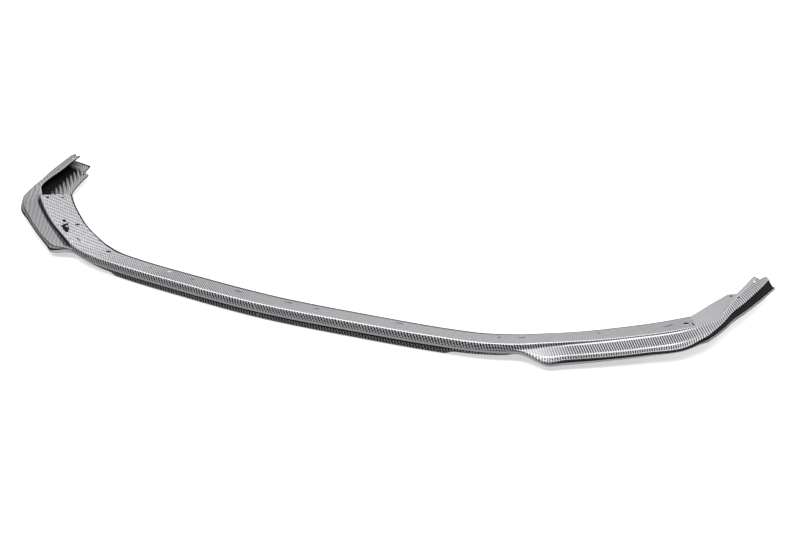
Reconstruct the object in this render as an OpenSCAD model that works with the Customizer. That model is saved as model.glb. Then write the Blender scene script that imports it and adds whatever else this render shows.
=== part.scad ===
// Front splitter lip: one thin moulded sheet that runs round the lower front of a car body.
// Frame: millimetres, +X to the lip's right-hand end seen from the front, +Y rearwards, +Z up,
// origin under the middle of the lip on the surface that its lower skirt stands on.

/* [Size] */
// Overall width over the two wheel-arch ends
lip_w = 1806; // [1780:2:1830]
// Thickness of the moulded sheet
sheet_t = 3.5; // [3:0.1:4]
// Height of the flange's front crease above the skirt's foot
crease_h = 41.5; // [39:0.5:44]
// Radius of the rounding along the front crease
crease_r = 5; // [4:0.5:6]

/* [Fixing holes] */
// Diameter of the screw hole in each strip end
strip_hole_d = 6; // [5:0.5:7]
// Diameter of the screw hole at the rear of each end tray
tray_hole_d = 6.5; // [5:0.5:7]
// Width of the long clip holes in the flange
slot_w = 5; // [4:0.5:6]
// Length of the long clip holes in the flange
slot_l = 19; // [14:1:24]

/* [End trays] */
// How deep the notch in each tray's rear edge is
tray_notch = 36; // [26:1:40]
// How deep the notch in each strip end is
strip_notch = 7.5; // [6:0.5:11]

/* [Lower skirt] */
// Distance that the skirt under the nose is set back from the nose's lower edge
skirt_in = 10; // [8:0.5:12]
// Where the deep part of the skirt ends, from the middle
skirt_x = 385; // [360:5:395]

/* [Smoothness] */
// Number of loft steps in each half of the lip
steps = 46; // [40:1:52]

/* [Hidden] */

// Station table of one half. Each row is one section of the sheet, from the middle to the wheel arch:
// F  crease between flange and nose face, later a line along the middle of the end strip
// I  inner edge of the flange up to the FOLD row, where the flange is cut off; behind it the strip's free edge
// d  drop of the nose face below F
// E  upper edge of the rim: foot of the nose in the middle, winglet edge, then top edge of the outer wall
// L  outer crease of the winglet shelf: distance inside E, and height
// N  lower edge of the rim: distance inside E, and height
ROWS = [
  //  F                    I                  d     E                    L           N
  [[  0,  -56, 41.5], [  0,  27, 15],  12.5, [  0, -54.5, 27.5], [0.3, 28.3], [2.5, 19]],
  [[200,  -45.5, 41.5], [199, 36.5, 15], 12.5, [200, -44, 27.5],  [0.3, 28.3], [2.5, 19]],
  [[385,  -27.5, 41.5], [375, 52.5, 15], 12.5, [385.3, -26, 27.5], [0.3, 28.3], [2.5, 19]],
  [[440,  -19, 41.5], [420,  60, 15],  12.5, [440.5, -17.5, 27.5], [0.3, 28.3], [2.5, 19]],
  [[482,   -7.5, 41.7], [449, 68.5, 15], 12.2, [483, -6, 27.8],   [0.3, 28.6], [2.5, 19]],
  [[521,    9, 41.7], [478,  80, 15],  11.5, [523,   8, 28],     [0.5, 29],   [2.5, 18]],
  [[548,   25.5, 41.4], [503, 91.5, 15], 10.5, [573, -1, 20.5],   [9, 29.5],   [2.5, 12.5]],
  [[575,   42, 41],   [527, 105, 15],   9.5, [600,  15, 21.5],   [2.5, 34],   [2.5, 12.5]],
  [[640,   84, 39.5], [590, 142, 15],   4.5, [667,  55, 23],     [2, 36.3],   [2.5, 16]],
  [[705,  131, 39.5], [657, 191, 15],   2.0, [729.5, 95.5, 25.5], [4, 38.2],   [3, 19]],
  [[762,  177, 40.3], [725, 246, 15.5], 1.5, [790, 136, 30],     [9, 41.5],   [2.2, 25]],
  [[788,  201, 41.2], [769, 286, 16.6], 1.2, [815.5, 171, 39.5], [8.5, 43],   [0.8, 29.3]],
  [[800,  211, 42.2], [795.5, 215.5, 40.9], 1.0, [822.5, 184, 41.8], [7.5, 43.8], [-1, 31.2]],
  [[827,  237, 45.2], [823, 244, 44.5], 0.8, [836, 225.5, 45.5], [5, 46],     [-2.5, 32.2]],
  [[837,  280, 50],   [832, 283, 49.5], 0.7, [847, 272, 49],     [4, 50],     [-4, 32.5]],
  [[846.5, 328, 53.2], [838.5, 331, 53], 0.6, [863, 320, 50.8],  [6, 53],     [-5, 33]],
  [[859,  374, 55.7], [849, 375, 55.5], 0.6, [878.5, 375, 52.5], [7, 55.5],   [-7, 33]],
  [[874,  445, 58.3], [864, 444, 58.4], 0.6, [896, 447, 55.2],   [8, 57.8],   [-9.3, 32.6]]
];
NR = len(ROWS);
FOLD = 11;

y_mid = 198.3;
wid = lip_w / 1806;
lift = crease_h - 41.5;

function unit(v) = let(n = norm(v)) n < 1e-9 ? v : v / n;
function flat(v) = [v[0], v[1], 0];

// running length along the sections, the loft's parameter
function gap(i) = (norm(ROWS[i + 1][0] - ROWS[i][0]) + norm(ROWS[i + 1][1] - ROWS[i][1])
                 + norm(ROWS[i + 1][3] - ROWS[i][3])) / 3;
function run(i) = i == 0 ? 0 : run(i - 1) + gap(i - 1);
U = [for (i = [0 : NR - 1]) run(i)];

// smooth curve through a column of the table
function rise(P, i) = (P[i + 1] - P[i]) / (U[i + 1] - U[i]);
function slope(P, i, side = 0) = i == 0 ? (len(P[0]) == 3 ? [rise(P, 0)[0], 0, 0] : 0 * P[0])
  : i == NR - 1 || side < 0 ? rise(P, i - 1)
  : side > 0 ? rise(P, i)
  : (rise(P, i - 1) * (U[i + 1] - U[i]) + rise(P, i) * (U[i] - U[i - 1])) / (U[i + 1] - U[i - 1]);
function cell(u, i = 0) = (i >= NR - 2 || u < U[i + 1]) ? i : cell(u, i + 1);
function at(P, u, cut = false) = let(i = cell(u), h = U[i + 1] - U[i], t = (u - U[i]) / h,
    from = slope(P, i, cut && i == FOLD ? 1 : 0), to = slope(P, i + 1, cut && i + 1 == FOLD ? -1 : 0))
  (2 * t * t * t - 3 * t * t + 1) * P[i] + (t * t * t - 2 * t * t + t) * h * from
  + (3 * t * t - 2 * t * t * t) * P[i + 1] + (t * t * t - t * t) * h * to;
function col(k) = [for (r = ROWS) r[k]];
CF = col(0); CI = col(1); CD = [for (r = ROWS) [r[2], 0]]; CE = col(3); CL = col(4); CN = col(5);
// free edge of the sheet behind the fold: it starts where the flange's cut meets the crease's rounding
CG = [for (i = [0 : NR - 1]) i == FOLD ? toward(CF[i], CI[i], crease_r) : CI[i]];

// horizontal direction into the car, square to the rim's edge
function inward(u) = let(a = at(CE, max(u - 2, 0)), b = at(CE, min(u + 2, U[NR - 1])), d = unit(flat(b - a)))
  u < 2 ? [0, 1, 0] : [-d[1], d[0], 0];

// height of the skirt's foot: deep in the middle, cut shallower towards the corners
function foot(x) = x < skirt_x ? 0
  : x < skirt_x + 14 ? 6 * (x - skirt_x) / 14
  : min(6 + (x - skirt_x - 14) / 26, 10);
// share of the skirt that is left: it ends where the winglet begins
function skirt(x) = x < 500 ? 1 : x > 540 ? 0 : (540 - x) / 40;

// share of the outer wall: its foot has a narrow band that turns in and down
function wall_share(x) = min(max((x - 795) / 25, 0), 1);

function mix(a, b, t) = a + (b - a) * t;
function toward(a, b, d) = let(n = norm(b - a)) a + (b - a) * min(d / max(n, 0.001), 0.45);
function bend(a, b, c) = 0.25 * a + 0.5 * b + 0.25 * c;

// outer face and inner face of the sheet at one station; behind the fold the flange's three points are left out
function section(u, rear = false) = let(
    v = inward(u), up = [0, 0, 1], t = sheet_t,
    dz = [0, 0, lift],
    F = at(CF, u) + dz, I = at(CI, u, true), E = at(CE, u), d = max(at(CD, u)[0], 0.6),
    l = at(CL, u), n = at(CN, u),
    P = F - up * d + v * min(1.2, d * 0.1) + (E - F) * (0.12 - 0.116 * min(d / 8, 1)),
    L = flat(E) + v * l[0] + up * l[1],
    N = flat(E) + v * n[0] + up * n[1],
    s = skirt(E[0]), z0 = foot(E[0]), k = wall_share(E[0]),
    W = mix(N + v * (5 - 4 * k) - up * 3 * k, flat(N) + v * skirt_in + up * (N[2] - 1), s),
    B = mix(N + v * 9.5 - up * 3 * k, flat(N) + v * (skirt_in + 0.5) + up * z0, s),
    F0 = rear ? at(CG, u, true) + dz * 0.7 : toward(F, I, crease_r), F2 = toward(F, P, crease_r),
    L0 = toward(L, P, 3), L2 = toward(L, E, 3), R = mix(N, E, 0.4),
    bank = rear ? [] : [I, mix(I, F0, 0.35), mix(I, F0, 0.7)],
    outer = concat(bank, [F0, bend(F0, F, F2), F2, P, L0, bend(L0, L, L2), L2, E, R, N, W, B]),
    a = min(d / 11, 1), m = min(max((E[0] - 510) / 30, 0), 1),
    shift = concat([for (q = bank) -up],
            [-up, mix(-up, v - up, 0.7 * a), mix(-up, v - up * 0.25, a), mix(-up, v - m * up, a),
             mix(v, -up, m), mix(v, (v * 0.6 - up) * 0.9, m), v - up * 0.8 * m, v - up * 0.4 * m, v,
             v + up * (1 - 0.4 * k), mix(up + v * 0.7 * k, v + up, s), mix(up, v, s)])
  ) [outer, [for (k = [0 : len(outer) - 1]) outer[k] + shift[k] * t]];

// stations: the table's own rows, with steps spread between them
function share(i) = max(1, round(steps * (i < 3 ? 0.07 : i < 5 ? 0.04 : 0.065)));
function spread(i0, i1) = concat([for (i = [i0 : i1 - 1]) for (k = [0 : share(i) - 1])
                                    mix(U[i], U[i + 1], k / share(i))], [U[i1]]);
FRONT = spread(0, FOLD);
REAR = let(all = spread(FOLD, NR - 1)) [for (k = [1 : len(all) - 1]) all[k]];

function place(p, side) = [p[0] * side * wid, p[1] - y_mid, p[2]];
function ring(u, side, rear = false) = let(s = section(u, rear), n = len(s[0]))
  [for (p = s[0]) place(p, side), for (k = [n - 1 : -1 : 0]) place(s[1][k], side)];

// faces between two rings of equal length, and over the end of one ring between two of its points
function band(a, b) = [for (k = [0 : len(a) - 1]) let(j = (k + 1) % len(a))
                         each [[a[k], b[k], b[j]], [a[k], b[j], a[j]]]];
function cap(a, k0, k1) = let(n = len(a)) [for (k = [k0 : k1 - 1])
                            each [[a[k], a[k + 1], a[n - 2 - k]], [a[k], a[n - 2 - k], a[n - 1 - k]]]];
function back(faces) = [for (f = faces) [f[2], f[1], f[0]]];
function span(i, n) = [for (k = [0 : n - 1]) i + k];

module main_sheet() {
  nf = len(FRONT); nb = len(REAR);
  wide = len(ring(FRONT[0], 1)); slim = len(ring(REAR[0], 1, true));
  pts = [for (i = [nb - 1 : -1 : 0]) each ring(REAR[i], -1, true),
         for (i = [nf - 1 : -1 : 1]) each ring(FRONT[i], -1),
         for (i = [0 : nf - 1]) each ring(FRONT[i], 1),
         for (i = [0 : nb - 1]) each ring(REAR[i], 1, true)];
  nm = 2 * nf - 1;
  left = [for (i = [0 : nb - 1]) span(i * slim, slim)];
  middle = [for (i = [0 : nm - 1]) span(nb * slim + i * wide, wide)];
  right = [for (i = [0 : nb - 1]) span(nb * slim + nm * wide + i * slim, slim)];
  // behind the fold the rings go on from the fold ring without the flange's points
  first = middle[0]; last = middle[nm - 1];
  bank = (wide - slim) / 2; end = slim / 2 - 1;
  all_left = concat(left, [[for (k = [bank : bank + slim - 1]) first[k]]]);
  all_right = concat([[for (k = [bank : bank + slim - 1]) last[k]]], right);
  faces = concat([for (i = [0 : nb - 1]) each band(all_left[i], all_left[i + 1])],
                 [for (i = [0 : nm - 2]) each band(middle[i], middle[i + 1])],
                 [for (i = [0 : nb - 1]) each band(all_right[i], all_right[i + 1])],
                 cap(left[0], 0, end), cap(first, 0, bank),
                 back(cap(last, 0, bank)), back(cap(right[nb - 1], 0, end)));
  polyhedron(points = pts, faces = faces, convexity = 10);
}

// the outer wall's lower edge at a table row given with a fraction
function wall_foot(w) = let(i = min(floor(w), NR - 2), u = mix(U[i], U[i + 1], w - i),
    n = at(CN, u), e = at(CE, u))
  flat(e) + inward(u) * (n[0] + 3) + [0, 0, n[1] - 3 * wall_share(e[0]) + 0.8 + sheet_t];

// rungs of the end tray: inner edge and the table row of the outer edge, from the fold to the rear end
RUNGS = [[[766.6, 283.8, 16], 11.3], [[769, 286, 16.6], 11.4], [[775.5, 299, 17.6], 12.4],
         [[782, 312, 19], 13.2], [[795, 345, 20], 14.3], [[809, 379, 19.4], 15.3],
         [[815, 396, 18.8], 15.9], [[822, 412, 19], 16.4], [[848, 452.5, 22], 17]];

module tray(side) {
  last = wall_foot(17);
  tops = [for (r = RUNGS) let(o = r[1] == 17 ? [last[0], 446.5, last[2]] : wall_foot(r[1]))
            for (q = [0 : 3]) mix(r[0], o, [0, 0.3, 0.65, 1][q])];
  nt = len(tops);
  pts = [for (p = tops) place(p, side), for (p = tops) place(p - [0, 0, sheet_t], side)];
  nr = len(RUNGS) - 1;
  up = [for (i = [0 : nr - 1]) for (q = [0 : 2]) let(a = 4 * i + q) each [[a, a + 4, a + 5], [a, a + 5, a + 1]]];
  edge = concat([for (q = [0 : 3]) q], [for (i = [1 : nr]) 4 * i + 3], [for (q = [2 : -1 : 0]) 4 * nr + q],
                [for (i = [nr - 1 : -1 : 1]) 4 * i]);
  ne = len(edge);
  rim = [for (k = [0 : ne - 1]) let(a = edge[k], b = edge[(k + 1) % ne])
           each [[a, b, b + nt], [a, b + nt, a + nt]]];
  all = concat(up, [for (f = up) [for (k = [2 : -1 : 0]) f[k] + nt]], rim);
  polyhedron(points = pts, faces = side > 0 ? all : [for (f = all) [f[2], f[1], f[0]]], convexity = 6);
}

// upright joggle that joins the flange's cut edge to the tray below it, open at its outer end
module riser(side) {
  a = CI[FOLD]; b = mix(a, CF[FOLD], 0.85);
  v = [-0.976, -0.218, 0];
  foot = [for (p = [a, b]) [p[0], p[1], p == a ? a[2] - 2.6 : 23]];
  head = [a - [0, 0, 0.6], b - [0, 0, 1.6]];
  pts = [for (k = [0.4, 3.2]) each [foot[0] + v * k, foot[1] + v * k, head[1] + v * k, head[0] + v * k]];
  faces = [[0, 1, 2], [0, 2, 3], [4, 6, 5], [4, 7, 6], [0, 5, 1], [0, 4, 5], [3, 2, 6], [3, 6, 7],
           [0, 3, 7], [0, 7, 4], [1, 5, 6], [1, 6, 2]];
  polyhedron(points = [for (p = pts) place(p, side)],
             faces = side > 0 ? faces : [for (f = faces) [f[2], f[1], f[0]]], convexity = 2);
}

// plan outline that is cut away behind the strip's notched end
module strip_end(side) {
  o = [[840, 430.5], [861, 430], [873.5, 430 - strip_notch], [882.5, 438.8], [892.4, 427.4], [901.5, 437],
       [903.2, 441], [925, 441], [925, 480], [840, 480]];
  plan_cut(o, side);
}

// everything over and under a plan outline
module plan_cut(o, side) {
  translate([0, 0, -10]) linear_extrude(100)
    polygon([for (p = o) let(q = place([p[0], p[1], 0], side)) [q[0], q[1]]]);
}

// plan outline of the notch at the tray's rear end, the tip inboard of it is left shorter
module tray_end(side) {
  o = [[795, 404], [818, 405], [836 + (36 - tray_notch) * 0.4, 446 - tray_notch], [852, 452], [852, 480],
       [795, 480]];
  plan_cut(o, side);
}

module at_place(x, y, z) { translate([x * wid, y - y_mid, z]) children(); }

module long_hole(x, y, l, w, turn = 0) {
  at_place(x, y, 2) rotate(turn) {
    for (s = [-1, 1]) translate([s * (l - w) / 2, 0, 0]) cylinder(d = w, h = 60, $fn = 32);
    translate([(w - l) / 2, -w / 2, 0]) cube([l - w, w, 60]);
  }
}

module round_hole(x, y, d, z0 = 2, z1 = 62) { at_place(x, y, z0) cylinder(d = d, h = z1 - z0, $fn = 32); }

// clip and screw holes of the flange, each at its own place: x, y, diameter
ROUND = [[-611.5, 131, 11], [-444.5, 41.5, 12], [-413.8, 10.2, 3], [-304.5, 11, 4], [-260, 15.5, 9], [-190, 1, 5.5],
         [289.5, 17.6, 3.5], [468, 43, 6], [629.5, 139, 6]];
// long holes: x, y, length, width, turn
LONG = [[-642, 122.5, 19, 7, 133], [-618, 104, 15, 5.5, 133], [-532.5, 47.5, 25, 4, -31],
        [-759.5, 244.5, 10, 4.5, 90], [-74, -3.5, slot_l, slot_w, 5], [41.5, 0, slot_l, slot_w, 2],
        [106.7, 0, 10, slot_w, 40], [276.5, 16.5, slot_l, 4, 4], [506, 61.5, 14, 3.5, 35],
        [741.5, 212.5, 22, 3, 56], [771, 227.5, 18, 8.5, 96]];
// holes that both ends have: x, y
STRIP_SCREW = [865, 407]; STRIP_PIN = [847, 332]; TRAY_SCREW = [827, 396];
// height between tray and strip, where the holes of one stop short of the other
between = crease_h - 3.5;
strip_pin_d = 4;
// outlines of the corner window and of the small gap at the flange's outer rear corner
function on_bank(x, y) = [x, y, 32 - 0.1667 * (x + 601) - 0.2814 * (y - 88)];
WINDOW = [for (p = [[-582, 61], [-577.5, 63], [-591, 82], [-601, 92.5], [-630, 120], [-624, 102], [-620, 87.7]])
            on_bank(p[0], p[1])];
GAP = [[-778, 208], [-772.5, 216.5], [-764, 200]];

module cut_outline(o) {
  translate([0, 0, 2]) linear_extrude(60) polygon([for (p = o) [p[0] * wid, p[1] - y_mid]]);
}

// recess with an outline given on the sheet's face: it leaves under half of the sheet's thickness
module recess(o, depth) {
  n = len(o);
  pts = [for (z = [0, 1]) for (p = o) [p[0] * wid, p[1] - y_mid, z == 0 ? p[2] + lift - depth : 60]];
  faces = [[for (k = [0 : n - 1]) k], [for (k = [n - 1 : -1 : 0]) k + n],
           for (k = [0 : n - 1]) let(j = (k + 1) % n) each [[k, k + n, j + n], [k, j + n, j]]];
  polyhedron(points = pts, faces = faces, convexity = 4);
}

module splitter_lip() {
  color("DimGray") difference() {
    union() {
      difference() {
        main_sheet();
        for (s = [-1, 1]) strip_end(s);
      }
      for (s = [-1, 1]) {
        difference() { tray(s); tray_end(s); }
        riser(s);
      }
    }
    for (h = ROUND) round_hole(h[0], h[1], h[2]);
    for (h = LONG) long_hole(h[0], h[1], h[2], h[3], h[4]);
    recess(WINDOW, sheet_t * 0.6);
    cut_outline(GAP);
    for (s = [-1, 1]) {
      round_hole(s * STRIP_SCREW[0], STRIP_SCREW[1], strip_hole_d, between, 2 * between);
      round_hole(s * STRIP_PIN[0], STRIP_PIN[1], strip_pin_d, between, 2 * between);
      round_hole(s * TRAY_SCREW[0], TRAY_SCREW[1], tray_hole_d, between / 5, between * 0.85);
    }
  }
}

splitter_lip();
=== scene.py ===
"""Front splitter lip: one thin moulded sheet with a glossy twill film, black at its cut edges."""
import math
import bpy
import numpy as np
from mathutils import Matrix, Vector


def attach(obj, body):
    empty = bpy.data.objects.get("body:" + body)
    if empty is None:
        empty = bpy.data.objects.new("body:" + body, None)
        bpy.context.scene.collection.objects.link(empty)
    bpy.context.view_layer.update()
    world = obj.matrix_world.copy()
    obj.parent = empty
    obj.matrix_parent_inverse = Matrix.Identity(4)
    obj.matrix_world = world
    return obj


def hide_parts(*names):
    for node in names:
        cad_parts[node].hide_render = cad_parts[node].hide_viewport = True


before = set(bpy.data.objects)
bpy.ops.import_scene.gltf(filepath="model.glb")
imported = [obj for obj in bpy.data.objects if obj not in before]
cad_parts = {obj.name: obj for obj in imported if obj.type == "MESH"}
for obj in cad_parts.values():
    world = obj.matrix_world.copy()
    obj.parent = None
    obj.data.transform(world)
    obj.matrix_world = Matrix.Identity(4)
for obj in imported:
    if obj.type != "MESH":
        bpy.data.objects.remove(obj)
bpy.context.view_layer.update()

# Sizes in millimetres, the same as the solid part's.
SHEET = 3.5                 # thickness of the moulded sheet
CREASE_R = 5.0              # rounding along the flange's front crease
SKIRT_IN = 10.0             # set-back of the skirt under the nose
SKIRT_X = 385.0             # where the deep part of the skirt ends, from the middle
SKIRT_GONE = (500, 540)     # where the skirt runs out
WALL_GROWS = (795, 820)     # where the winglet's rim turns into the outer wall
SHELF_OPENS = (510, 540)    # where the nose's foot widens into the winglet's shelf
Y_MID = 198.3               # the table's y that lies on the frame's origin
MM = 0.001
UP = np.array([0.0, 0.0, 1.0])

# One half of the lip, from the middle to the wheel arch:
# crease, flange edge or free edge, nose drop, rim edge, shelf crease, rim foot
ROWS = [
    ((0, -56, 41.5), (0, 27, 15), 12.5, (0, -54.5, 27.5), (0.3, 28.3), (2.5, 19)),
    ((200, -45.5, 41.5), (199, 36.5, 15), 12.5, (200, -44, 27.5), (0.3, 28.3), (2.5, 19)),
    ((385, -27.5, 41.5), (375, 52.5, 15), 12.5, (385.3, -26, 27.5), (0.3, 28.3), (2.5, 19)),
    ((440, -19, 41.5), (420, 60, 15), 12.5, (440.5, -17.5, 27.5), (0.3, 28.3), (2.5, 19)),
    ((482, -7.5, 41.7), (449, 68.5, 15), 12.2, (483, -6, 27.8), (0.3, 28.6), (2.5, 19)),
    ((521, 9, 41.7), (478, 80, 15), 11.5, (523, 8, 28), (0.5, 29), (2.5, 18)),
    ((548, 25.5, 41.4), (503, 91.5, 15), 10.5, (573, -1, 20.5), (9, 29.5), (2.5, 12.5)),
    ((575, 42, 41), (527, 105, 15), 9.5, (600, 15, 21.5), (2.5, 34), (2.5, 12.5)),
    ((640, 84, 39.5), (590, 142, 15), 4.5, (667, 55, 23), (2, 36.3), (2.5, 16)),
    ((705, 131, 39.5), (657, 191, 15), 2.0, (729.5, 95.5, 25.5), (4, 38.2), (3, 19)),
    ((762, 177, 40.3), (725, 246, 15.5), 1.5, (790, 136, 30), (9, 41.5), (2.2, 25)),
    ((788, 201, 41.2), (769, 286, 16.6), 1.2, (815.5, 171, 39.5), (8.5, 43), (0.8, 29.3)),
    ((800, 211, 42.2), (795.5, 215.5, 40.9), 1.0, (822.5, 184, 41.8), (7.5, 43.8), (-1, 31.2)),
    ((827, 237, 45.2), (823, 244, 44.5), 0.8, (836, 225.5, 45.5), (5, 46), (-2.5, 32.2)),
    ((837, 280, 50), (832, 283, 49.5), 0.7, (847, 272, 49), (4, 50), (-4, 32.5)),
    ((846.5, 328, 53.2), (838.5, 331, 53), 0.6, (863, 320, 50.8), (6, 53), (-5, 33)),
    ((859, 374, 55.7), (849, 375, 55.5), 0.6, (878.5, 375, 52.5), (7, 55.5), (-7, 33)),
    ((874, 445, 58.3), (864, 444, 58.4), 0.6, (896, 447, 55.2), (8, 57.8), (-9.3, 32.6)),
]
FOLD = 11    # the row where the flange is cut off
LAST = len(ROWS) - 1


def column(k):
    """One column of the table as points; the nose drop becomes the first of two numbers."""
    return np.array([row[k] if k != 2 else (row[k], 0) for row in ROWS], float)


CREASE, EDGE, DROP, RIM, SHELF, FOOT = (column(k) for k in range(6))
STEPS = [(np.linalg.norm(CREASE[i + 1] - CREASE[i]) + np.linalg.norm(EDGE[i + 1] - EDGE[i])
          + np.linalg.norm(RIM[i + 1] - RIM[i])) / 3 for i in range(LAST)]
RUN = np.concatenate([[0], np.cumsum(STEPS)])


def unit(v):
    n = np.linalg.norm(v)
    return v / n if n > 1e-9 else v


def flat(p):
    return np.array([p[0], p[1], 0.0])


def toward(a, b, d):
    """A point d from a towards b, never past the middle."""
    return a + (b - a) * min(d / max(np.linalg.norm(b - a), 1e-3), 0.45)


def rise(col, i):
    """How a column changes per length from a row to the next."""
    return (col[i + 1] - col[i]) / (RUN[i + 1] - RUN[i])


def slope(col, i, side):
    """A column's slope at a row; at a corner, side picks the slope before or after it."""
    if i == 0:
        first = rise(col, 0)
        return np.array([first[0], 0, 0]) if len(first) == 3 else first * 0
    if i == LAST or side < 0:
        return rise(col, i - 1)
    if side > 0:
        return rise(col, i)
    before, after = RUN[i] - RUN[i - 1], RUN[i + 1] - RUN[i]
    return (rise(col, i - 1) * after + rise(col, i) * before) / (before + after)


def at(col, u, cut=False):
    """Smooth curve through a column of the table; a cut column has a corner at the fold."""
    i = min(max(int(np.searchsorted(RUN, u, side="right")) - 1, 0), LAST - 1)
    h = RUN[i + 1] - RUN[i]
    t = (u - RUN[i]) / h
    m0 = slope(col, i, 1 if cut and i == FOLD else 0) * h
    m1 = slope(col, i + 1, -1 if cut and i + 1 == FOLD else 0) * h
    return ((2 * t**3 - 3 * t**2 + 1) * col[i] + (t**3 - 2 * t**2 + t) * m0
            + (3 * t**2 - 2 * t**3) * col[i + 1] + (t**3 - t**2) * m1)


FREE = EDGE.copy()
FREE[FOLD] = toward(CREASE[FOLD], EDGE[FOLD], CREASE_R)


def ramp(x, x0, x1):
    """0 before x0, 1 after x1, and evenly between."""
    return min(max((x - x0) / (x1 - x0), 0.0), 1.0)


def inward(u):
    """Horizontal direction into the car, square to the rim's edge."""
    if u < 2:
        return np.array([0.0, 1.0, 0.0])
    d = unit(flat(at(RIM, min(u + 2, RUN[-1])) - at(RIM, u - 2)))
    return np.array([-d[1], d[0], 0.0])


def skirt_foot(x):
    """The skirt's foot: down to the floor in the middle, cut shallower towards the corners."""
    return 0 if x < SKIRT_X else min(6 * ramp(x, SKIRT_X, SKIRT_X + 14) + max(x - SKIRT_X - 14, 0) / 26, 10)


def bend(a, corner, b, n):
    """n + 1 points of a soft bend from a to b round a corner."""
    return [a * (1 - t)**2 + corner * 2 * t * (1 - t) + b * t**2 for t in np.linspace(0, 1, n + 1)]


FLANGE_CELLS = 26       # faces across the flange, for the film's tones
HEM = (9, 5)            # width of the dark band at the flange's edge, and how much narrower at the corner
BAND_TOP = 0.65         # the band under the rim: where its upper part ends, as a share of its height
BAND_LOW = 3.5          # height of its lowest part


def section(u, rear):
    """Outer face, inner face and name of each strip between two outer points."""
    v = inward(u)
    crease, edge, rim = at(CREASE, u), at(EDGE, u, True), at(RIM, u)
    drop = max(at(DROP, u)[0], 0.6)
    shelf_in, shelf_z = at(SHELF, u)
    foot_in, foot_z = at(FOOT, u)
    nose = crease - UP * drop + v * min(1.2, drop * 0.1) + (rim - crease) * (0.12 - 0.116 * min(drop / 8, 1))
    shelf = flat(rim) + v * shelf_in + UP * shelf_z
    foot = flat(rim) + v * foot_in + UP * foot_z
    x = rim[0]
    skirt, wall = 1 - ramp(x, *SKIRT_GONE), ramp(x, *WALL_GROWS)
    lip = (foot + v * (5 - 4 * wall) - UP * 3 * wall) * (1 - skirt) \
        + (flat(foot) + v * SKIRT_IN + UP * (foot[2] - 1)) * skirt
    base = (foot + v * 9.5 - UP * 3 * wall) * (1 - skirt) \
        + (flat(foot) + v * (SKIRT_IN + 0.5) + UP * skirt_foot(x)) * skirt
    start = at(FREE, u, True) if rear else toward(crease, edge, CREASE_R)
    below = toward(crease, nose, CREASE_R)
    band, band_low = foot + (rim - foot) * BAND_TOP, toward(foot, rim, BAND_LOW)
    outer, strips = [], []
    if not rear:
        hem = toward(edge, start, HEM[0] - HEM[1] * ramp(x, 450, 600))
        outer = [edge] + [hem + (start - hem) * k / (FLANGE_CELLS - 1) for k in range(FLANGE_CELLS - 1)]
        strips = ["hem"] + ["flange"] * (FLANGE_CELLS - 2)
    shelf_a, shelf_b = toward(shelf, nose, 3), toward(shelf, rim, 3)
    rim_a = toward(rim, shelf, 1.3)
    for link, names, points in (
            ("crease_dots", ["crease_dots"] + ["crease"] * 2 + ["nose"] * 3, bend(start, crease, below, 6)),
            ("nose", ["nose_foot"] * 3, bend(toward(nose, crease, 2), nose, toward(nose, shelf, 2), 3)),
            ("shelf_top", [], [toward(nose, shelf, 3 + drop * 0.6)]),
            ("shelf", ["shelf"] * 2 + ["shelf_crease"] * 2, bend(shelf_a, shelf, shelf_b, 4)),
            ("rim_face", ["rim_line", "rim_low"], [shelf_b + (rim_a - shelf_b) * k for k in (0.6, 0.77, 1)]),
            (None, ["rim_edge"] * 3, bend(rim_a, rim, toward(rim, foot, 1.3), 3)),
            ("band_top", ["band"], [band, band_low]),
            ("band_low", ["band_foot"] * 3, bend(toward(foot, rim, 1.0), foot, toward(foot, lip, 1.0), 3)),
            ("overhang", ["overhang"] * 2, bend(toward(lip, foot, 1.5), lip, toward(lip, base, 1.5), 2)),
            ("skirt_top", ["skirt"] * 3, [lip + (base - lip) * k for k in (0.45, 0.68, 0.9, 1)])):
        if link is None:
            points = points[1:]
        elif outer:
            strips.append(link)
        strips += names
        outer += points
    # The inner face: each main point moved one sheet inwards. a tells a steep nose, m an open shelf.
    a, m = min(drop / 11, 1), ramp(x, *SHELF_OPENS)
    mid = (start + 2 * crease + below) / 4
    shelf_mid = (shelf_a + 2 * shelf + shelf_b) / 4
    lean = v - UP
    shifts = [(start, -UP),
              (mid, -UP * (1 - 0.7 * a) + lean * 0.7 * a),
              (below, -UP * (1 - a) + (v - UP * 0.25) * a),
              (nose, -UP * (1 - a) + (v - UP * m) * a),
              (shelf_a, v * (1 - m) - UP * m),
              (shelf_mid, v * (1 - m) + (v * 0.6 - UP) * 0.9 * m),
              (shelf_b, v - UP * 0.8 * m),
              (rim, v - UP * 0.4 * m),
              (band, v),
              (foot, v + UP * (1 - 0.4 * wall)),
              (lip, (UP + v * 0.7 * wall) * (1 - skirt) + (v + UP) * skirt),
              (base, UP * (1 - skirt) + v * skirt)]
    inner = [p + shift * SHEET for p, shift in shifts]
    if not rear:
        inner = [p - UP * SHEET for p in outer[:FLANGE_CELLS]] + inner
    strips[-1] = "skirt_foot"
    return np.array(outer), np.array(inner), strips


def place(points, side):
    """Points of the table's half, in mm, to the frame's metres on either side."""
    return (np.asarray(points, float) * [side, 1, 1] - [0, Y_MID, 0]) * MM


# How far the weave's columns shift along the lip per length run down the front faces, on either side.
LEAN = {-1: 0.08, 1: 0.3}
FOLD_Y, STRIP_STRETCH = 201.0, 0.78    # behind the fold the weave's rows stand wider apart


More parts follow.
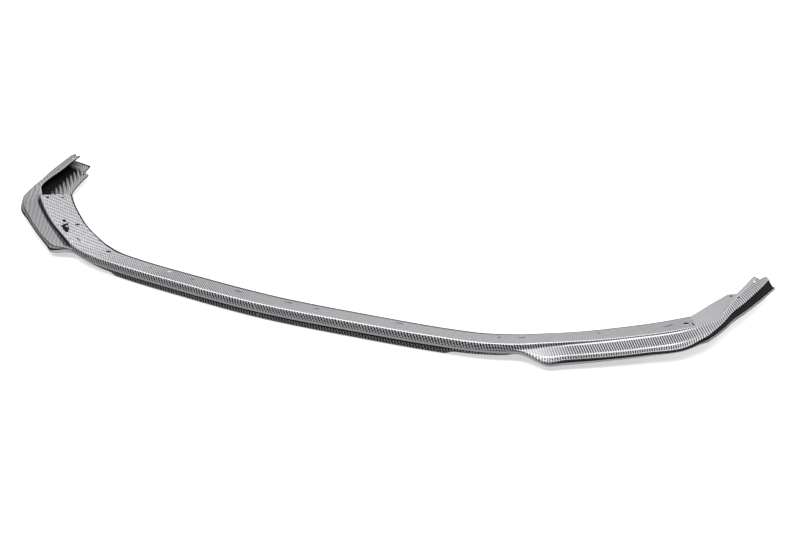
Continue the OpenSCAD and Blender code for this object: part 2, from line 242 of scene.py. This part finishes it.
def film_place(points, side, bend_at=None):
    """Film coordinates in mm: laid flat from above, and drawn down over the faces after point bend_at."""
    points = np.asarray(points, float)
    down = np.where(points[:, 1] > FOLD_Y, FOLD_Y + (points[:, 1] - FOLD_Y) * STRIP_STRETCH, points[:, 1])
    if bend_at is not None:
        run = np.cumsum(np.linalg.norm(np.diff(points[bend_at:], axis=0), axis=1))
        down[bend_at + 1:] = down[bend_at] - LEAN[side] * run
    return np.stack([points[:, 0] * side, down], 1)


# Tones of the light and the dark tows of the film on each strip of the sheet, in five zones:
# left wall, left winglet, middle, right winglet, right wall. Equal numbers are a plain edge band.
# Besides the twill's own colour the tones hold painted light: the up-facing flange and shelves painted
# lighter as a painted reflection of the light above, painted highlights along the creases (crease, nose_foot,
# shelf_crease, rim_line), painted reflections of the floor in the pale bands under the rims, painted dark
# reflections on the left creases and on the right rims and walls, and painted shade under the nose over the
# skirt (overhang, skirt_top).
TONES_WITH_PAINTED_LIGHT = {
    "hem": ((.02, .01), (.02, .01), (.02, .01), (.02, .01), (.02, .01)),
    "flange": ((.52, .36), (.52, .36), (.34, .08), (.34, .09), (.30, .11)),
    "crease_dots": ((.40, .30), (.44, .30), (.36, .03), (.34, .06), (.32, .11)),
    "crease": ((.30, .22), (.26, .20), (.55, .50), (.55, .50), (.40, .12)),
    "nose": ((.28, .18), (.02, .008), (.27, .001), (.16, .001), (.32, .08)),
    "nose_foot": ((.28, .18), (.02, .008), (.27, .001), (.50, .42), (.32, .08)),
    "shelf_top": ((.28, .18), (.07, .04), (.38, .22), (.31, .003), (.32, .08)),
    "shelf": ((.28, .18), (.23, .17), (.38, .22), (.31, .003), (.32, .08)),
    "shelf_crease": ((.26, .18), (.05, .03), (.38, .22), (.52, .42), (.34, .10)),
    "rim_face": ((.26, .18), (.18, .10), (.34, .10), (.36, .004), (.38, .06)),
    "rim_line": ((.26, .18), (.02, .01), (.34, .06), (.46, .34), (.52, .10)),
    "rim_low": ((.26, .18), (.02, .01), (.34, .06), (.03, .006), (.03, .006)),
    "rim_edge": ((.10, .02), (.012, .006), (.36, .04), (.012, .006), (.012, .006)),
    "band_top": ((.03, .008), (.50, .50), (.27, .001), (.012, .006), (.012, .006)),
    "band": ((.03, .008), (.50, .50), (.36, .36), (.45, .45), (.014, .006)),
    "band_low": ((.03, .008), (.50, .50), (.36, .36), (.45, .45), (.42, .42)),
    "band_foot": ((.30, .30), (.30, .30), (.30, .30), (.02, .02), (.02, .02)),
    "overhang": ((.30, .30), (.01, .01), (.006, .006), (.01, .01), (.30, .30)),
    "skirt_top": ((.01, .01), (.01, .01), (.008, .004), (.01, .01), (.01, .01)),
    "skirt": ((.01, .01), (.01, .01), (.26, .006), (.01, .01), (.01, .01)),
    "skirt_foot": ((.01, .01), (.01, .01), (.34, .30), (.01, .01), (.01, .01)),
}
# Where the tones fade from zone to zone: into the right winglet, into a wall, and into the left winglet.
RIGHT_FADE, WALL_FADE, WINGLET_FADE = (545, 600), (770, 800), (515, 535)
# Strips that fade into the left winglet's tones over another length.
LEFT_FADE = {"crease": (300, 520), "crease_dots": (250, 500), "flange": (250, 500)}
# Fine dark lines along X on the flange: pitch in mm, share that is dark, depth, and more depth on the left.
GRAIN_PITCH, GRAIN_SHARE, GRAIN, GRAIN_LEFT = 17.0, 0.35, 0.12, 0.4


def tone(strip, x, y):
    """Tow tones of a strip at a place on the plan, painted light included, blended between the zones."""
    zones = np.array(TONES_WITH_PAINTED_LIGHT[strip])
    out = zones[2] * 1.0
    out += (zones[3] - zones[2]) * ramp(x, *RIGHT_FADE) + (zones[4] - zones[3]) * ramp(x, *WALL_FADE)
    left = ramp(-x, *LEFT_FADE.get(strip, WINGLET_FADE))
    out += (zones[1] - zones[2]) * left + (zones[0] - zones[1]) * ramp(-x, *WALL_FADE)
    if strip == "flange" and y % GRAIN_PITCH < GRAIN_SHARE * GRAIN_PITCH:
        out *= 1 - GRAIN - GRAIN_LEFT * left
    return out


FILM, BARE = 0, 1    # a face with film, and one of bare black plastic


class Shell:
    """Collects points, faces, film coordinates and finishes of one closed solid."""

    def __init__(self):
        self.points, self.faces, self.uvs, self.tones, self.finish = [], [], [], [], []

    def add(self, points):
        """Adds points and tells their numbers."""
        first = sum(len(p) for p in self.points)
        self.points.append(points)
        return list(range(first, first + len(points)))

    def face(self, corners, uv=None, tones=None):
        """A face of bare plastic, or one with film where its place on the film is given."""
        self.faces.append(corners)
        self.uvs.append(uv if uv is not None else [(0, 0)] * len(corners))
        self.tones.append(tones if tones is not None else [(0, 0)] * len(corners))
        self.finish.append(BARE if uv is None else FILM)

    def mesh(self, name, materials):
        """The solid as an object in the scene."""
        me = bpy.data.meshes.new(name)
        me.from_pydata(np.concatenate(self.points).tolist(), [], self.faces)
        for layer_name, corners in (("film", self.uvs), ("tone", self.tones)):
            layer = me.uv_layers.new(name=layer_name)
            layer.data.foreach_set("uv", np.array([c for face in corners for c in face], np.float32).ravel())
        me.polygons.foreach_set("material_index", self.finish)
        for material in materials:
            me.materials.append(material)
        me.update()
        ob = bpy.data.objects.new(name, me)
        bpy.context.scene.collection.objects.link(ob)
        return ob


def stations(i0, i1, pitch):
    """Stations between two rows, a pitch apart, the rows themselves included."""
    out = []
    for i in range(i0, i1):
        n = max(1, round((RUN[i + 1] - RUN[i]) / pitch))
        out += [RUN[i] + (RUN[i + 1] - RUN[i]) * k / n for k in range(n)]
    return out + [RUN[i1]]


def lip_sheet(materials, pitch=6.0):
    """The main sheet: every section of both halves joined into one closed solid."""
    shell = Shell()
    front, rear = stations(0, FOLD, pitch), stations(FOLD, LAST, pitch)[1:]

    def ring(u, side, is_rear):
        """One section's points, film places and tones."""
        outer, inner, strips = section(u, is_rear)
        tones = [tone(name, side * outer[k][0], outer[k][1]) for k, name in enumerate(strips)]
        return (shell.add(place(outer, side)), shell.add(place(inner, side)),
                film_place(outer, side, 0 if is_rear else FLANGE_CELLS), tones)

    def skin(a, b):
        """Faces between two sections: outer, inner and both edges."""
        for k in range(len(a[0]) - 1):
            shell.face([a[0][k], b[0][k], b[0][k + 1], a[0][k + 1]],
                       [a[2][k], b[2][k], b[2][k + 1], a[2][k + 1]], [a[3][k], b[3][k], b[3][k], a[3][k]])
        for k in range(len(a[1]) - 1):
            shell.face([a[1][k + 1], b[1][k + 1], b[1][k], a[1][k]])
        shell.face([a[0][0], a[1][0], b[1][0], b[0][0]])
        shell.face([a[0][-1], b[0][-1], b[1][-1], a[1][-1]])

    left = [ring(u, -1, True) for u in rear[::-1]]
    middle = [ring(u, -1, False) for u in front[:0:-1]] + [ring(u, 1, False) for u in front]
    right = [ring(u, 1, True) for u in rear]
    cut = FLANGE_CELLS
    trimmed = [tuple(part[cut:] for part in fold) for fold in (middle[0], middle[-1])]
    for run in (left + [trimmed[0]], middle, [trimmed[1]] + right):
        for a, b in zip(run[:-1], run[1:]):
            skin(a, b)
    for (top, low, *_), turn in ((middle[0], 1), (middle[-1], -1)):
        for k in range(cut):
            shell.face([top[k], top[k + 1], low[k + 1], low[k]][::turn])
    shell.face(left[0][0] + left[0][1][::-1])
    shell.face((right[-1][0] + right[-1][1][::-1])[::-1])
    return shell.mesh("lip_sheet", materials)


def wall_foot(row):
    """The outer wall's lower edge at a table row given with a fraction."""
    i = min(int(row), LAST - 1)
    u = RUN[i] + (RUN[i + 1] - RUN[i]) * (row - i)
    rim, (foot_in, foot_z) = at(RIM, u), at(FOOT, u)
    return flat(rim) + inward(u) * (foot_in + 3) + UP * (foot_z - 3 * ramp(rim[0], *WALL_GROWS) + 0.8 + SHEET)


# The tray's inner edge, and the table row, with a fraction, whose wall foot is its outer edge there
TRAY_RUNGS = [((766.6, 283.8, 16), 11.3), ((769, 286, 16.6), 11.4), ((775.5, 299, 17.6), 12.4),
              ((782, 312, 19), 13.2), ((795, 345, 20), 14.3), ((809, 379, 19.4), 15.3),
              ((815, 396, 18.8), 15.9), ((822, 412, 19), 16.4), ((848, 452.5, 22), 17)]
TRAY_END_Y = 446.5      # where the tray's outer edge ends
TRAY_REAR = 443.5       # behind this the tray's rear edge turns dark
TRAY_RIGHT, TRAY_LEFT, TRAY_DARK = (0.30, 0.20), (0.32, 0.17), (0.02, 0.01)
FINGER_PITCH = 14.0     # of the dark fingers on the left tray, a painted reflection and painted shade, along the diagonal
FINGER_DEPTH = (0.312, 0.166)


def tray_tone(side, across, x, y):
    """Tow tones on the tray; on the left one the dark wall's reflection and the pocket's shade are painted in
    fingers that reach inwards.
    """
    if y > TRAY_REAR:
        return TRAY_DARK
    if side > 0:
        return TRAY_RIGHT
    finger = 0.5 + 0.5 * math.cos(2 * math.pi * (y - x) / FINGER_PITCH)
    dark = ramp(across, 0.10 + 0.36 * finger, 0.20 + 0.36 * finger) * (1 - ramp(y, 405, 420))
    return TRAY_LEFT[0] - FINGER_DEPTH[0] * dark, TRAY_LEFT[1] - FINGER_DEPTH[1] * dark


def end_tray(side, materials, cells=24, pitch=2.4):
    """The plate under one end strip, film on its upper face."""
    shell, rows, rungs = Shell(), [], []
    for inner, row in TRAY_RUNGS:
        inner, outer = np.array(inner, float), wall_foot(row)
        rungs.append((inner, np.array([outer[0], TRAY_END_Y, outer[2]]) if row == LAST else outer))
    for (a0, b0), (a1, b1) in zip(rungs[:-1], rungs[1:]):
        steps = math.ceil(np.linalg.norm(a1 - a0) / pitch)
        rows += [(a0 + (a1 - a0) * t, b0 + (b1 - b0) * t) for t in np.arange(steps) / steps]
    rows = [[a + (b - a) * k / cells for k in range(cells + 1)] for a, b in rows + [rungs[-1]]]
    tops = [shell.add(place(r, side)) for r in rows]
    lows = [shell.add(place(np.array(r) - UP * SHEET, side)) for r in rows]
    turn = 1 if side > 0 else -1
    for i in range(len(rows) - 1):
        for k in range(cells):
            quad = [(i, k), (i + 1, k), (i + 1, k + 1), (i, k + 1)][::-turn]
            shell.face([tops[r][c] for r, c in quad], film_place([rows[r][c] for r, c in quad], side),
                       [tray_tone(side, c / cells, rows[r][c][0], rows[r][c][1]) for r, c in quad])
            shell.face([lows[r][c] for r, c in quad[::-1]])
        for c in (0, cells):
            wall = [tops[i][c], lows[i][c], lows[i + 1][c], tops[i + 1][c]]
            shell.face(wall[::(1 if (c == 0) == (side > 0) else -1)])
    for i in (0, len(rows) - 1):
        for k in range(cells):
            wall = [tops[i][k], tops[i][k + 1], lows[i][k + 1], lows[i][k]]
            shell.face(wall[::(1 if (i == 0) == (side > 0) else -1)])
    return shell.mesh("end_tray", materials)


RISER_FACES = ((0, 1, 2, 3), (7, 6, 5, 4), (0, 4, 5, 1), (3, 2, 6, 7), (0, 3, 7, 4), (1, 5, 6, 2))
RISER_TONE = (.22, .12)


def riser(side, materials):
    """Upright joggle between the flange's cut edge and the tray, open at its outer end."""
    a, b = EDGE[FOLD], EDGE[FOLD] + (CREASE[FOLD] - EDGE[FOLD]) * 0.85
    square = np.array([-0.976, -0.218, 0])    # square to the cut edge, into the flange
    low = [np.array([a[0], a[1], a[2] - 2.6]), np.array([b[0], b[1], 23])]
    high = [a - UP * 0.6, b - UP * 1.6]
    shell = Shell()
    face = (low[0], low[1], high[1], high[0])
    ids = shell.add(place([p + square * k for k in (0.4, 3.2) for p in face], side))
    for quad in RISER_FACES:
        shell.face([ids[k] for k in quad], [(0, 0)] * 4, [RISER_TONE] * 4)
    return shell.mesh("riser", materials)


def prism(outline, z0, z1, materials, bottom=None, wall_tone=None):
    """A cutter with a plan outline in mm; bottom gives each corner's own height."""
    n = len(outline)
    shell = Shell()
    low = [(x, y, z0 if bottom is None else bottom[k]) for k, (x, y) in enumerate(outline)]
    a = shell.add(place(low, 1))
    b = shell.add(place([(x, y, z1) for x, y in outline], 1))
    shell.face(a[::-1])
    shell.face(b)
    for k in range(n):
        j = (k + 1) % n
        shell.face([a[k], a[j], b[j], b[k]], wall_tone and [(0, 0)] * 4, wall_tone and [wall_tone] * 4)
    return shell.mesh("cutter", materials)


def oval(x, y, length, width, turn, n=24):
    """Plan outline of a round or long hole."""
    half, r = max(length - width, 0) / 2, width / 2
    c, s = math.cos(math.radians(turn)), math.sin(math.radians(turn))
    pts = []
    for k in range(n):
        t = 2 * math.pi * (k + 0.5) / n
        px, py = r * math.cos(t) + (half if math.cos(t) > 0 else -half), r * math.sin(t)
        pts.append((x + px * c - py * s, y + px * s + py * c))
    return pts


# x, y, length, width, turn of each hole through the flange
FLANGE_HOLES = [(-611.5, 131, 11, 11, 0), (-444.5, 41.5, 12, 12, 0), (-413.8, 10.2, 3, 3, 0),
                (-304.5, 11, 4, 4, 0), (-190, 1, 5.5, 5.5, 0), (468, 43, 6, 6, 0), (629.5, 139, 6, 6, 0),
                (-642, 122.5, 19, 7, 133), (-618, 104, 15, 5.5, 133), (-532.5, 47.5, 25, 4, -31),
                (-759.5, 244.5, 10, 4.5, 90), (-74, -3.5, 19, 5, 5), (41.5, 0, 19, 5, 2),
                (106.7, 0, 10, 5, 40), (276.5, 16.5, 19, 4, 4), (506, 61.5, 14, 3.5, 35),
                (741.5, 212.5, 22, 3, 56), (771, 227.5, 18, 8.5, 96)]
# The same for holes whose walls carry a painted highlight, and the pale colour of that painted highlight
PALE_HOLES = [(-260, 15.5, 9, 9, 0), (289.5, 17.6, 3.5, 3.5, 0)]
PAINTED_HOLE_HIGHLIGHT = (0.8, 0.8)
# x, y, diameter, height from and to, colour of the walls (a painted highlight where given) of the holes in
# both strips and both trays
END_HOLES = [(865, 407, 6, 45, 70, PAINTED_HOLE_HIGHLIGHT), (847, 332, 4, 45, 70, None), (827, 396, 6.5, 8, 32, None)]
FLANGE_Z, END_Z = (2, 62), (-10, 90)    # heights that a cutter of the flange or of an end spans
# Plan outlines: the left corner's window, the gap at the left fold, and what the strips' and trays' ends lose
WINDOW = [(-582, 61), (-577.5, 63), (-591, 82), (-601, 92.5), (-630, 120), (-624, 102), (-620, 87.7)]
WINDOW_DEPTH = 0.6    # as a share of the sheet
GAP = [(-764, 200), (-772.5, 216.5), (-778, 208)]
STRIP_END = [(840, 430.5), (861, 430), (873.5, 422.5), (882.5, 438.8), (892.4, 427.4), (901.5, 437),
             (903.2, 441), (925, 441), (925, 480), (840, 480)]
TRAY_END = [(795, 404), (818, 405), (836, 410), (852, 452), (852, 480), (795, 480)]


def mirrored(outline, side):
    """An outline of the right side for either side, turned anticlockwise for the cutter."""
    pts = [(x * side, y) for x, y in outline]
    area = sum(p[0] * q[1] - q[0] * p[1] for p, q in zip(pts, pts[1:] + pts[:1]))
    return pts if area > 0 else pts[::-1]


def combine(target, tool, operation):
    """target becomes target with the tool joined or cut away; the tool is removed."""
    mod = target.modifiers.new("combine", "BOOLEAN")
    mod.object, mod.operation, mod.solver = tool, operation, "EXACT"
    graph = bpy.context.evaluated_depsgraph_get()
    made = bpy.data.meshes.new_from_object(target.evaluated_get(graph))
    target.modifiers.remove(mod)
    old, target.data = target.data, made
    bpy.data.meshes.remove(old)
    data = tool.data
    bpy.data.objects.remove(tool)
    bpy.data.meshes.remove(data)


def join(objects):
    """Separate closed solids as one tool."""
    first = objects[0]
    with bpy.context.temp_override(active_object=first, object=first, selected_objects=objects,
                                   selected_editable_objects=objects):
        bpy.ops.object.join()
    return first


def window_heights():
    """The recess's floor, under the plane that the banked flange follows there."""
    return [32 - 0.1667 * (x + 601) - 0.2814 * (y - 88) - WINDOW_DEPTH * SHEET for x, y in WINDOW]


SHARP = math.radians(38)    # edges that turn more than this stay crisp


def build_lip(materials):
    """The whole lip as one closed piece."""
    sides = (-1, 1)
    sheet = lip_sheet(materials)
    combine(sheet, join([prism(mirrored(STRIP_END, s), *END_Z, materials) for s in sides]), "DIFFERENCE")
    trays = join([end_tray(s, materials) for s in sides])
    combine(trays, join([prism(mirrored(TRAY_END, s), *END_Z, materials) for s in sides]), "DIFFERENCE")
    combine(sheet, trays, "UNION")
    combine(sheet, join([riser(s, materials) for s in sides]), "UNION")
    holes = [prism(oval(*h), *FLANGE_Z, materials) for h in FLANGE_HOLES]
    # these holes' walls carry a painted highlight
    holes += [prism(oval(*h), *FLANGE_Z, materials, wall_tone=PAINTED_HOLE_HIGHLIGHT) for h in PALE_HOLES]
    holes.append(prism(mirrored(GAP, 1), *FLANGE_Z, materials))
    holes += [prism(oval(s * x, y, d, d, 0), z0, z1, materials, wall_tone=wall)
              for s in sides for x, y, d, z0, z1, wall in END_HOLES]
    combine(sheet, join(holes), "DIFFERENCE")
    combine(sheet, prism(WINDOW, 0, FLANGE_Z[1], materials, window_heights()), "DIFFERENCE")
    sheet.name = sheet.data.name = "splitter_lip_skin"
    sheet.data.shade_smooth()
    sheet.data.set_sharp_from_angle(angle=SHARP)
    return sheet


# ---- materials

class Value:
    """One shader socket that takes part in sums."""

    def __init__(self, tree, socket):
        self.tree, self.socket = tree, socket

    def _math(self, operation, *others):
        return node(self.tree, "ShaderNodeMath", {"operation": operation}, dict(enumerate((self,) + others)))

    def __add__(self, other): return self._math("ADD", other)
    def __sub__(self, other): return self._math("SUBTRACT", other)
    def __mul__(self, other): return self._math("MULTIPLY", other)
    def floor(self): return self._math("FLOOR")
    def fract(self): return self._math("FRACT")
    def modulo(self, other): return self._math("FLOORED_MODULO", other)
    def below(self, other): return self._math("LESS_THAN", other)
    def absolute(self): return self._math("ABSOLUTE")

    def __rsub__(self, other):
        return node(self.tree, "ShaderNodeMath", {"operation": "SUBTRACT"}, {0: other, 1: self})


OBJECT_PLACE = 3    # the output of a Texture Coordinate node that gives Object coordinates


def feed(tree, made, inputs):
    """Links or sets a node's inputs."""
    for key, value in inputs.items():
        if isinstance(value, Value):
            tree.links.new(value.socket, made.inputs[key])
        else:
            made.inputs[key].default_value = value


def node(tree, kind, settings=None, inputs=None, output=0):
    """Adds a node with its settings and inputs, and tells one of its outputs."""
    made = tree.nodes.new(kind)
    for key, value in (settings or {}).items():
        setattr(made, key, value)
    feed(tree, made, inputs or {})
    return Value(tree, made.outputs[output])


def parts(tree, vector):
    """The first two parts of a vector."""
    split = node(tree, "ShaderNodeSeparateXYZ", {}, {0: vector})
    return split, Value(tree, split.socket.node.outputs[1])


def mix_colour(tree, factor, a, b):
    """One colour blended into another."""
    return node(tree, "ShaderNodeMix", {"data_type": "RGBA"}, {0: factor, 6: a, 7: b}, 2)


def plastic(name):
    """A new material with its node tree and its shader."""
    mat = bpy.data.materials.new(name)
    mat.use_nodes = True
    return mat, mat.node_tree, mat.node_tree.nodes["Principled BSDF"]


TOW = 1.62                        # width of one tow of the weave, mm
FIBRES, FIBRE_DEPTH = 9, 0.3      # fine lines across one tow, and how much they vary its tone
FILM_TINT = (0.99, 0.985, 1.03)   # the film's slight violet
GLOSS = 0.35                      # how much of a full clear coat the light tows carry; black tows carry none
GLOSS_FROM = 0.12                 # reflectance of a tow that carries all of it


def twill_film():
    """Gloss film with a 2x2 twill: light and dark tows under a clear smooth coat."""
    mat, tree, shader = plastic("twill_film")
    a, b = parts(tree, node(tree, "ShaderNodeMapping", {}, {
        "Vector": node(tree, "ShaderNodeUVMap", {"uv_map": "film"}), "Scale": (1 / TOW, 1 / TOW, 1)}))
    # the tone map carries each face's tow tones, with their painted highlights, reflections and shade
    light, dark = parts(tree, node(tree, "ShaderNodeUVMap", {"uv_map": "tone"}))
    warp_up = (a.floor() + b.floor()).modulo(4.0).below(1.5)
    across = warp_up * a + (1 - warp_up) * b
    fibres = node(tree, "ShaderNodeTexNoise", {"noise_dimensions": "1D"},
                  {"W": across * FIBRES, "Scale": 1.0})
    crown = (across.fract() - 0.5).absolute() * -1.0
    tow = (dark + (light - dark) * warp_up) * (fibres * FIBRE_DEPTH + (1 - FIBRE_DEPTH / 2))
    feed(tree, shader, {
        "Base Color": node(tree, "ShaderNodeCombineColor", {}, {k: tow * FILM_TINT[k] for k in range(3)}),
        "Normal": node(tree, "ShaderNodeBump", {}, {"Strength": 0.1, "Distance": 0.0001, "Height": crown}),
        "Coat Weight": node(tree, "ShaderNodeMapRange", {},
                            {"Value": tow, "From Max": GLOSS_FROM, "To Max": GLOSS}),
        "Roughness": 0.5,
        "Specular IOR Level": 0.06,
        "Coat Roughness": 0.06,
        "Coat IOR": 1.5,
    })
    return mat


BLACKS = (0.006, 0.006, 0.0065, 1), (0.011, 0.011, 0.012, 1)


def bare_plastic():
    """Black moulded plastic of the back and the cut edges, slightly grained."""
    mat, tree, shader = plastic("bare_plastic")
    where = node(tree, "ShaderNodeTexCoord", {}, {}, OBJECT_PLACE)
    grain = node(tree, "ShaderNodeTexNoise", {}, {"Vector": where, "Scale": 900.0, "Detail": 3.0})
    cloud = node(tree, "ShaderNodeTexNoise", {}, {"Vector": where, "Scale": 14.0, "Detail": 2.0})
    feed(tree, shader, {
        "Base Color": mix_colour(tree, cloud, *BLACKS),
        "Roughness": grain * 0.2 + 0.42,
        "Normal": node(tree, "ShaderNodeBump", {}, {"Strength": 0.2, "Distance": 0.0002, "Height": grain}),
        "Specular IOR Level": 0.12,
    })
    return mat


# ---- studio

WHITE = (1.0, 1.0, 1.0, 1.0)
PAPER = (0.35, 0.35, 0.35, 1)
FLOOR_HALF = 30             # metres
FLOOR_GLOW = 0.62           # how much of the floor's white near the lip stays white in shadow
GLOW_GROWS = (0.7, 1.1)     # from the middle, in metres: where it grows to full white
SOFTBOX = {"stand": (0.35, -0.75, 1.75), "aim": (0.1, 0, 0), "size": (2.9, 1.0), "power": 113}
AIR = 0.12                  # strength of the even light from all round


def floor():
    """Pale floor: lit as paper, lifted to white where the camera looks at it."""
    me = bpy.data.meshes.new("floor")
    h = FLOOR_HALF
    me.from_pydata([(-h, -h, 0), (h, -h, 0), (h, h, 0), (-h, h, 0)], [], [(0, 1, 2, 3)])
    ob = bpy.data.objects.new("floor", me)
    bpy.context.scene.collection.objects.link(ob)
    mat = bpy.data.materials.new("floor_paper")
    mat.use_nodes = True
    tree = mat.node_tree
    tree.nodes.remove(tree.nodes["Principled BSDF"])
    out = tree.nodes["Material Output"]
    paper = node(tree, "ShaderNodeBsdfDiffuse", {}, {"Color": PAPER})
    away = node(tree, "ShaderNodeVectorMath", {"operation": "LENGTH"},
                {0: node(tree, "ShaderNodeTexCoord", {}, {}, OBJECT_PLACE)}, 1)
    near, far = GLOW_GROWS
    glow = node(tree, "ShaderNodeMapRange", {}, {
        "Value": away, "From Min": near, "From Max": far, "To Min": FLOOR_GLOW, "To Max": 1.0})
    lift = node(tree, "ShaderNodeEmission", {}, {"Color": glow, "Strength": 1.0})
    rays = node(tree, "ShaderNodeLightPath")
    both = node(tree, "ShaderNodeAddShader", {}, {0: paper, 1: lift})
    shown = node(tree, "ShaderNodeMixShader", {}, {0: rays, 1: paper, 2: both})
    tree.links.new(shown.socket, out.inputs["Surface"])
    me.materials.append(mat)


def lamp(name, stand, aim, size, power):
    """A soft rectangular lamp that looks at a point."""
    data = bpy.data.lights.new(name, "AREA")
    data.shape, data.size, data.size_y, data.energy = "RECTANGLE", size[0], size[1], power
    ob = bpy.data.objects.new(name, data)
    bpy.context.scene.collection.objects.link(ob)
    ob.location = stand
    ob.rotation_euler = (Vector(aim) - Vector(stand)).to_track_quat("-Z", "Y").to_euler()


def studio():
    """Floor, one large softbox above, and even air."""
    floor()
    lamp("top_softbox", **SOFTBOX)
    world = bpy.data.worlds.new("studio_air")
    bpy.context.scene.world = world
    world.use_nodes = True
    tree = world.node_tree
    background = tree.nodes["Background"]
    background.inputs["Color"].default_value = WHITE
    background.inputs["Strength"].default_value = AIR
    bpy.context.scene.view_settings.view_transform = "Standard"


CAMERA_PLACE = (0.998, -1.6763, 0.950)
YAW, PITCH, ROLL = -25.71, 26.7, -0.49    # degrees: to the left, down, and about the view
SENSOR, LENS = 36.0, 45.0                 # mm


def camera():
    """At the photograph's place: solved from the lip's mirror symmetry."""
    yaw, pitch, roll = (math.radians(a) for a in (YAW, PITCH, ROLL))
    ahead = Vector((math.sin(yaw) * math.cos(pitch), math.cos(yaw) * math.cos(pitch), -math.sin(pitch)))
    level = Vector((math.cos(yaw), -math.sin(yaw), 0))
    above = level.cross(ahead)
    right = level * math.cos(roll) + above * math.sin(roll)
    top = above * math.cos(roll) - level * math.sin(roll)
    data = bpy.data.cameras.new("camera")
    data.sensor_width, data.lens = SENSOR, LENS
    ob = bpy.data.objects.new("camera", data)
    bpy.context.scene.collection.objects.link(ob)
    turn = Matrix((right, top, -ahead)).transposed()
    ob.matrix_world = Matrix.Translation(CAMERA_PLACE) @ turn.to_4x4()
    bpy.context.scene.camera = ob


camera()
studio()
lip = build_lip([twill_film(), bare_plastic()])
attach(lip, "root")
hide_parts("splitter_lip")
